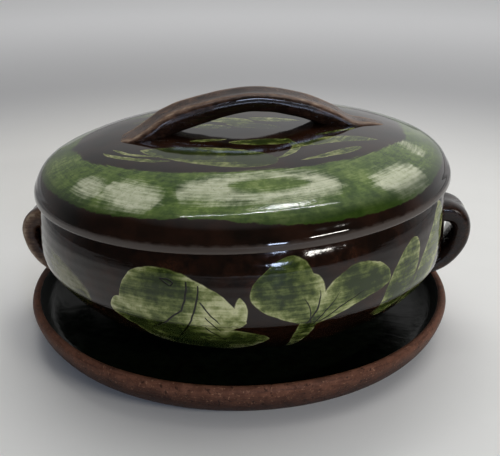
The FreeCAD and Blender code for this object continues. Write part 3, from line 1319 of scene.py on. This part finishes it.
@dataclass(frozen=True)
class PotGlaze:
    """Dark brown glaze over green painted leaves and a fish with scratched lines."""

    ground: Shades = ((17, 9, 5), (52, 27, 14))
    inside: Shades = ((104, 62, 36), (70, 40, 24))
    inside_levels: Pair = (2.2, 2.8)
    clay: Paint = Paint((128, 84, 62), 1.0, (0.9, 0.3))
    girth: float = 143.0
    brush_around: float = 4.0
    brush_fineness: float = 0.5
    leaf_sway: float = 1.4
    slip_levels: Pair = (-0.6, 0.4)
    slip_strength: float = 0.92
    wash_levels: Pair = (-1.5, 3.5)
    wash_strength: float = 0.38
    # Paler slip low on the fish, just above the fold: thin slip, and partly a painted reflection of the
    # floor.
    fish_foot: Pair = (60.0, 66.0)
    fish_back: Pair = (86.0, 72.0)
    fish_end: Pair = (30.0, -20.0)
    lush_start: Pair = (48.0, 64.0)
    lush_end: Pair = (108.0, 92.0)
    lush_weight: float = -0.25
    # Painted shade: the wall under the fold is darkened, where it turns down and away from the light.
    shade: Paint = Paint((17, 9, 5), 0.2, (63.5, 61.5))
    speck: Paint = Paint((22, 22, 10), 0.4)
    scratch: Paint = Paint((14, 11, 6))
    scratch_levels: Pair = (-0.2, 0.25)
    scratch_relief: float = -0.15
    fold_level: float = 62.8
    fold_raggedness: Weights = Weights(mottle=1.6)
    fold_levels: Pair = (0.7, 0.1)
    fold_strength: float = 0.6
    least_roughness: float = 0.05
    roughness_weights: Weights = Weights(mottle=0.08)
    relief_weights: Weights = Weights(mark=0.012)
    relief: float = 1.4
    leaves: tuple[Stroke, ...] = (
        Stroke((-74, 80), (4, 66), 23.0, 0.0, 0.45, 0.8),
        Stroke((-81, 70), (-40, 52), 10.0, 0.0, 0.4, 0.6),
        Stroke((-68, 56), (18, 50), 18.0, -7.0, 0.5, 0.7),
        Stroke((-3, 62), (0, 82), 4.4, -1.5, 0.3, 0.7),
        Stroke((43, 59), (15, 97), 19.0, -2.0, 1.15, 0.42),
        Stroke((45, 61), (38, 93), 9.0, 0.0, 0.8, 0.45),
        Stroke((41, 61), (97, 81), 11.5, 9.0, 0.6, 0.4),
        Stroke((41, 66), (36, 32), 5.5, 0.0, 0.2, 0.6),
        Stroke((93, 52), (125, 93), 11.5, 0.0, 0.6, 0.5),
        Stroke((116, 52), (172, 100), 11.0, 0.0, 0.6, 0.5),
    )
    washes: tuple[Stroke, ...] = (
        Stroke((88, 56), (142, 72), 8.0, 0.0, 0.5, 0.6),
        Stroke((-100, 62), (-178, 84), 13.0, 0.0, 0.4, 0.6),
        Stroke((-112, 46), (-176, 60), 9.0, 0.0, 0.7, 0.6),
    )
    scratches: tuple[Stroke, ...] = (
        Stroke((-47, 92), (-43, 92.4), 0.5, 0.0, 0.1, 0.1),
        Stroke((-43, 92.4), (-39, 90), 0.5, 0.0, 0.1, 0.1),
        Stroke((-39, 90), (-41, 87.6), 0.5, 0.0, 0.1, 0.1),
        Stroke((-41, 87.6), (-47, 92), 0.5, 0.0, 0.1, 0.1),
        Stroke((-31, 91.5), (-34, 71.5), 0.6, 1.0, 0.1, 0.1),
        Stroke((-34, 72), (-56, 54.5), 0.6, 0.6, 0.1, 0.3),
        Stroke((-24, 89.5), (-41, 47), 0.6, 4.5, 0.1, 0.2),
        Stroke((-23, 78.5), (-11.5, 64.5), 0.5, 0.0, 0.1, 0.3),
        Stroke((-20, 69), (-11.5, 58.5), 0.45, 0.0, 0.1, 0.3),
        Stroke((-21, 61), (-8.5, 47.5), 0.4, 0.0, 0.1, 0.3),
        Stroke((47, 82), (39.5, 62), 0.6, 2.0, 0.4, 0.2),
        Stroke((42, 62), (37, 80), 0.45, -1.0, 0.2, 0.6),
        Stroke((44, 61), (60, 79), 0.4, 0.0, 0.2, 0.6),
        Stroke((47, 61), (78, 76), 0.4, 2.0, 0.2, 0.6),
    )

    def level(self, wiring: Wiring, x: Socket, z: Socket) -> Socket:
        """Gives the height on the pot before its ring was leaned.

        Args:
            wiring: Tree of the finish.
            x: Place towards the right.
            z: Height.

        Returns:
            Height in millimetres.
        """
        start = MILLIMETRES_PER_METRE * (BASE_LEVEL + PotBowl.level_height)
        share = wiring.ramp(z, start, MILLIMETRES_PER_METRE * MOUTH_LEVEL)
        lean = wiring.times(share, math.sin(MOUTH_LEAN))
        return wiring.sum("SUBTRACT", z, wiring.times(x, lean))

    def thinness_and_sheen(self, wiring: Wiring, along: Socket, level: Socket) -> Socket:
        """Gives where the slip is paler, low on the fish just above the fold, and where it is lush, on the
        leaf beside it; the fish's paleness is thin slip and partly a painted reflection of the floor.

        Args:
            wiring: Tree of the finish.
            along: Place round the pot in millimetres.
            level: Height on the pot.

        Returns:
            Thinness from below 0 to 1.
        """
        fish = wiring.stretch(level, self.fish_back, self.fish_foot)
        fish = wiring.times(fish, wiring.ramp(along, *self.fish_end))
        lush = wiring.stretch(along, self.lush_start, self.lush_end)
        return wiring.weighed(fish, (lush, self.lush_weight))

    def slip(self, coat: Coat, layout: Socket, level: Socket) -> Socket:
        """Gives the ground with the painted leaves and the fish.

        Args:
            coat: Shared patterns.
            layout: Place round the pot and height on it.
            level: Height on the pot.

        Returns:
            The colour.
        """
        wiring = coat.wiring
        brown = wiring.between(wiring.times(coat.cloud, coat.mottle), self.ground)
        slip, wash = coat.deepest(layout, *self.leaves), coat.deepest(layout, *self.washes)
        thin = self.thinness_and_sheen(wiring, wiring.parts(layout)[0], level)
        leaf = coat.leaf(wiring.sum("MAXIMUM", slip, wash), thin)
        full = wiring.times(wiring.ramp(slip, *self.slip_levels), self.slip_strength)
        faint = wiring.times(wiring.ramp(wash, *self.wash_levels), self.wash_strength)
        return wiring.mix(wiring.sum("MAXIMUM", full, faint), brown, leaf.outputs["Colour"])

    def scratched(self, coat: Coat, layout: Socket, level: Socket) -> Socket:
        """Gives where lines are scratched through the slip, with the dark line along the fold.

        Args:
            coat: Shared patterns.
            layout: Place round the pot and height on it.
            level: Height on the pot.

        Returns:
            Mask of the lines.
        """
        wiring = coat.wiring
        lines = wiring.ramp(coat.deepest(layout, *self.scratches), *self.scratch_levels)
        above = wiring.sum("SUBTRACT", level, self.fold_level)
        off = wiring.sum("ABSOLUTE", coat.stirred(above, self.fold_raggedness))
        fold = wiring.times(wiring.ramp(off, *self.fold_levels), self.fold_strength)
        return wiring.sum("MAXIMUM", lines, fold)

    def material(self, groups: Groups) -> bpy.types.Material:
        """Builds the finish.

        Args:
            groups: Shared shader groups.

        Returns:
            The material.
        """
        material, wiring = new_finish("pot_glaze")
        coat = Coat(wiring, groups, wiring.millimetres())
        x, y, z = wiring.parts(coat.place)
        level = self.level(wiring, x, z)
        coat.brush(level, self.brush_around, self.brush_fineness)
        half_turn = wiring.sum("WRAP", wiring.azimuth(x, y), math.pi / 2, -math.pi / 2)
        layout = wiring.joined(wiring.times(half_turn, self.girth), level)
        layout = coat.unsteady(layout, self.leaf_sway)

        # Painted shade under the fold.
        colour = wiring.painted(self.slip(coat, layout, level), level, self.shade)
        colour = wiring.painted(colour, coat.speck, self.speck)
        scratched = self.scratched(coat, layout, level)
        colour = wiring.painted(colour, scratched, self.scratch)
        zone = wiring.layer("zone")
        colour = wiring.painted(colour, zone, self.clay)
        inside = wiring.between(coat.mottle, self.inside)
        colour = wiring.mix(wiring.ramp(zone, *self.inside_levels), colour, inside)
        roughness = coat.weighed(self.least_roughness, self.roughness_weights)
        height = wiring.times(coat.weighed(coat.skin, self.relief_weights), self.relief)
        wiring.surface(colour, roughness, wiring.weighed(height, (scratched, self.scratch_relief)))
        return material


@dataclass(frozen=True)
class HandleGlaze:
    """Dark glaze on the straps, worn through to tan on their ridges; the paler tan is partly painted sheen
    and painted light.
    """

    # The palest stops are worn clay and partly a painted sheen.
    stops: Stops = (
        (0.0, (24, 15, 10)), (0.25, (40, 25, 18)), (0.5, (78, 54, 40)), (0.75, (118, 92, 72)),
        (1.0, (170, 150, 126)),
    )
    streak: Pattern = Pattern(1.0, 3.0, 0.6, (0.3, 0.7))
    streak_stretch: tuple[float, float, float] = (0.06, 0.5, 0.5)
    streak_wear: float = 0.24
    wear_raggedness: Weights = Weights(mottle=0.3)
    speck: Paint = Paint((22, 15, 11), 0.5)
    speck_relief: float = 0.06
    least_roughness: float = 0.03
    worn_roughness: float = 0.5
    roughness_weights: Weights = Weights(mottle=0.08)
    ior: float = 1.38

    def material(self, groups: Groups) -> bpy.types.Material:
        """Builds the finish.

        Args:
            groups: Shared shader groups.

        Returns:
            The material.
        """
        material, wiring = new_finish("handle_glaze")
        coat = Coat(wiring, groups, wiring.millimetres())
        streaks = wiring.add("Mapping", {"Vector": coat.place, "Scale": self.streak_stretch}).outputs[0]
        wear = wiring.layer("wear")
        worn = wiring.stirred(wear, (wiring.mask(streaks, self.streak), self.streak_wear))
        worn = coat.stirred(worn, self.wear_raggedness)
        colour = wiring.painted(wiring.tones(worn, self.stops), coat.speck, self.speck)
        roughness = coat.weighed(self.least_roughness, self.roughness_weights)
        roughness = wiring.weighed(roughness, (wear, self.worn_roughness))
        height = wiring.weighed(coat.skin, (coat.speck, self.speck_relief))
        wiring.surface(colour, roughness, height, self.ior)
        return material


@dataclass(frozen=True)
class PlatterClay:
    """Bare terracotta outside, near-black green glaze inside."""

    wall: Shades = ((46, 30, 25), (70, 47, 38))
    rim: Shades = ((88, 56, 42), (120, 80, 62))
    rim_raggedness: Weights = Weights(mark=3.0, cloud=5.0)
    rim_levels: Pair = (11.0, 26.0)
    glaze: Shades = ((9, 11, 8), (20, 27, 17))
    glaze_levels: Pair = (1.35, 1.65)
    glaze_raggedness: Weights = Weights(mottle=0.8)
    brush_around: float = 9.0
    brush_fineness: float = 0.7
    turned: Paint = Paint((50, 33, 27), 0.5, (0.55, 1.0))
    grit: Paint = Paint((164, 122, 96), 0.6)
    grit_pattern: Pattern = Pattern(0.62, 2.0, 0.6, (0.6, 0.72))
    grit_rise: Pair = (8.0, 22.0)
    pit: Paint = Paint((30, 20, 16), 0.65)
    pit_pattern: Pattern = Pattern(0.3, 3.0, 0.65, (0.6, 0.66))
    pit_relief: float = -0.22
    filled_relief: float = 0.2
    relief_weights: Weights = Weights(mark=0.12)
    clay_roughness: float = 0.44
    glaze_smoothness: float = -0.34
    roughness_weights: Weights = Weights(mottle=0.12)
    ior: float = 1.18

    def clay(self, coat: Coat, height: Socket, pit: Socket) -> Socket:
        """Gives the bare clay, paler towards the rim, with turning marks, grit and pits.

        Args:
            coat: Shared patterns.
            height: Height on the dish.
            pit: Mask of the pits.

        Returns:
            The colour.
        """
        wiring = coat.wiring
        wall, rim = wiring.between(coat.mottle, self.wall), wiring.between(coat.mottle, self.rim)
        line = coat.stirred(height, self.rim_raggedness)
        clay = wiring.mix(wiring.ramp(line, *self.rim_levels), wall, rim)
        clay = wiring.painted(clay, coat.mark, self.turned)
        grit = wiring.times(wiring.mask(coat.place, self.grit_pattern), wiring.ramp(height, *self.grit_rise))
        return wiring.painted(wiring.painted(clay, grit, self.grit), pit, self.pit)

    def material(self, groups: Groups) -> bpy.types.Material:
        """Builds the finish.

        Args:
            groups: Shared shader groups.

        Returns:
            The material.
        """
        material, wiring = new_finish("platter_clay")
        coat = Coat(wiring, groups, wiring.millimetres())
        z = wiring.parts(coat.place)[2]
        coat.brush(z, self.brush_around, self.brush_fineness)
        pit = wiring.sum("MAXIMUM", coat.speck, wiring.mask(coat.place, self.pit_pattern))
        zone = coat.stirred(wiring.layer("zone"), self.glaze_raggedness)
        glazed = wiring.ramp(zone, *self.glaze_levels)
        glaze = wiring.between(coat.mottle, self.glaze)
        colour = wiring.mix(glazed, self.clay(coat, z, pit), glaze)
        roughness = coat.weighed(self.clay_roughness, self.roughness_weights)
        roughness = wiring.weighed(roughness, (glazed, self.glaze_smoothness))
        pits = wiring.times(pit, wiring.weighed(self.pit_relief, (glazed, self.filled_relief)))
        height = wiring.sum("ADD", coat.skin, coat.weighed(pits, self.relief_weights))
        wiring.surface(colour, roughness, height, self.ior)
        return material


@dataclass(frozen=True)
class Lamp:
    """Soft lamp that looks at the pot; its azimuth runs from the front towards the right, in degrees."""

    name: str
    azimuth: float
    elevation: float
    distance: float
    size: Pair
    radiance: float
    colour: Rgb = (255, 255, 255)
    roll: float = 0.0
    mirrored: bool = True
    aim_height: float = 0.1

    def hang(self) -> None:
        """Adds the lamp to the scene; the glaze mirrors it only where that is asked for."""
        data = bpy.data.lights.new(self.name, "AREA")
        data.shape = "RECTANGLE"
        data.size, data.size_y = self.size
        data.energy = self.radiance * math.pi * self.size[0] * self.size[1]
        data.color = tint(self.colour)[:3]
        lamp = bpy.data.objects.new(self.name, data)
        turn, rise = math.radians(self.azimuth), math.radians(self.elevation)
        away = Vector((math.sin(turn) * math.cos(rise), -math.cos(turn) * math.cos(rise), math.sin(rise)))
        lamp.location = Vector((0.0, 0.0, self.aim_height)) + away * self.distance
        turned = away.to_track_quat("Z", "Y").to_matrix() @ Matrix.Rotation(math.radians(self.roll), 3, "Z")
        lamp.rotation_euler = turned.to_euler()
        lamp.visible_camera = False
        lamp.visible_glossy = self.mirrored
        bpy.context.scene.collection.objects.link(lamp)


@dataclass(frozen=True)
class Studio:
    """Pale floor, soft light and the camera."""

    camera_place: tuple[float, float, float] = (0.0057, -0.5434, 0.2903)
    camera_pitch: float = 67.54
    lens: float = 57.6
    sensor_width: float = 36.0
    floor_reach: float = 16.0
    floor_sides: int = 96
    floor_shades: Shades = ((240, 239, 235), (244, 243, 239))
    floor_cloud: float = 0.02
    floor_roughness: float = 0.6
    # Painted shadow: a soft dark patch on the floor in front, which the glaze mirrors, standing in for the
    # dark room on the viewer's side.
    dim: Paint = Paint((96, 96, 95))
    dim_centre: Pair = (0.0, -740.0)
    dim_reach: tuple[float, float, float] = (760.0, 460.0, 1000.0)
    dim_levels: Pair = (1.25, 0.15)
    # Painted shade: the floor greys from about 0.3 m out, as if the light fell off there.
    far: Paint = Paint((178, 178, 179))
    far_levels: Pair = (300.0, 850.0)
    beyond: Paint = Paint((238, 238, 239), 1.0, (750.0, 1700.0))
    right_levels: Pair = (-0.5, 0.5)
    back_levels: Pair = (-0.1, 0.7)
    back_light: Pair = (0.24, 0.42)
    top_levels: Pair = (0.7, 1.0)
    top_light: Pair = (0.04, 0.3)
    lamps: tuple[Lamp, ...] = (
        Lamp("overhead_strip", 180.0, 70.0, 1.4, (1.0, 0.005), 120.0, roll=18.0),
        Lamp("window", 16.0, 12.0, 1.6, (0.22, 0.24), 36.0, (205, 222, 255)),
        Lamp("side_strip", 43.0, 23.0, 1.6, (0.52, 0.04), 85.0, (255, 252, 245)),
        Lamp("ceiling_fill", 150.0, 70.0, 1.6, (1.8, 1.2), 1.3, mirrored=False),
        Lamp("back_fill", 180.0, 40.0, 2.9, (2.8, 1.2), 1.3, mirrored=False),
    )

    def camera(self) -> None:
        """Sets the camera at the photograph's viewing angle."""
        data = bpy.data.cameras.new("camera")
        data.lens = self.lens
        data.sensor_width = self.sensor_width
        camera = bpy.data.objects.new("camera", data)
        camera.location = self.camera_place
        camera.rotation_euler = (math.radians(self.camera_pitch), 0.0, 0.0)
        bpy.context.scene.collection.objects.link(camera)
        bpy.context.scene.camera = camera

    def floor_finish(self) -> bpy.types.Material:
        """Builds the floor's finish: pale, with a painted shadow as a soft dim patch towards the viewer that
        the glaze mirrors, and painted shade that greys it further out.

        Returns:
            The material.
        """
        material, wiring = new_finish("studio_floor")
        place = wiring.millimetres()
        distance = wiring.vector("LENGTH", place)
        offset = wiring.vector("SUBTRACT", place, (*self.dim_centre, 0.0))
        patch = wiring.vector("LENGTH", wiring.vector("DIVIDE", offset, self.dim_reach))
        # Painted shadow in front, and painted shade further out.
        dim = wiring.ramp(patch, *self.dim_levels)
        far = wiring.times(wiring.ramp(distance, *self.far_levels), wiring.sum("SUBTRACT", 1.0, dim))
        colour = wiring.between(wiring.noise(place, self.floor_cloud), self.floor_shades)
        colour = wiring.painted(wiring.painted(colour, dim, self.dim), far, self.far)
        wiring.surface(wiring.painted(colour, distance, self.beyond), self.floor_roughness, 0.0)
        return material

    def floor(self) -> None:
        """Lays the floor."""
        mesh = bmesh.new()
        bmesh.ops.create_circle(mesh, cap_ends=True, segments=self.floor_sides, radius=self.floor_reach)
        data = bpy.data.meshes.new("floor")
        mesh.to_mesh(data)
        mesh.free()
        data.materials.append(self.floor_finish())
        floor = bpy.data.objects.new("floor", data)
        bpy.context.scene.collection.objects.link(floor)

    def world(self) -> None:
        """Fills the room with soft light: dim at the front, bright behind and above."""
        world = bpy.data.worlds.new("room")
        world.use_nodes = True
        wiring = Wiring(world.node_tree)
        x, y, z = wiring.parts(wiring.add("TexCoord").outputs["Generated"])
        least, more = self.back_light
        right = wiring.weighed(least, (wiring.ramp(x, *self.right_levels), more))
        behind = wiring.times(wiring.ramp(y, *self.back_levels), right)
        least, more = self.top_light
        above = wiring.weighed(least, (wiring.ramp(z, *self.top_levels), more))
        feeds = {"Strength": wiring.sum("ADD", behind, above), "Color": (1.0, 1.0, 1.0, 1.0)}
        wiring.feed(world.node_tree.nodes["Background"], feeds)
        bpy.context.scene.world = world

    def build(self) -> None:
        """Sets up camera, floor and light."""
        bpy.context.scene.view_settings.view_transform = "Standard"
        self.camera()
        self.floor()
        self.world()
        for lamp in self.lamps:
            lamp.hang()


def main() -> None:
    """Builds every piece and the studio."""
    logging.basicConfig(level=logging.INFO, format="%(name)s: %(message)s")
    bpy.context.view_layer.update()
    groups = Groups(GlazeSkin().group(), BrushMarks().group(), painted_stroke(), LeafSlip().group())
    clay = PlatterClay().material(groups)
    dark = PotGlaze().material(groups)
    green = LidGlaze().material(groups)
    brown = HandleGlaze().material(groups)
    set_piece(Platter().mesh(), "serving_platter", Body.PLATTER, Slot.TERRACOTTA, clay)
    set_piece(PotBowl().mesh(), "pot_bowl", Body.POT, Slot.POT_GLAZE, dark)
    set_piece(EarHandle().mesh(Side.LEFT), "pot_handle_left", Body.POT, Slot.HANDLE_GLAZE, brown)
    set_piece(EarHandle().mesh(Side.RIGHT), "pot_handle_right", Body.POT, Slot.HANDLE_GLAZE, brown)
    set_piece(LidShell().mesh(), "lid_shell", Body.LID, Slot.LID_GLAZE, green)
    set_piece(LidStrap().mesh(), "lid_handle", Body.LID, Slot.HANDLE_GLAZE, brown)
    Studio().build()


if __name__ == "__main__":
    main()
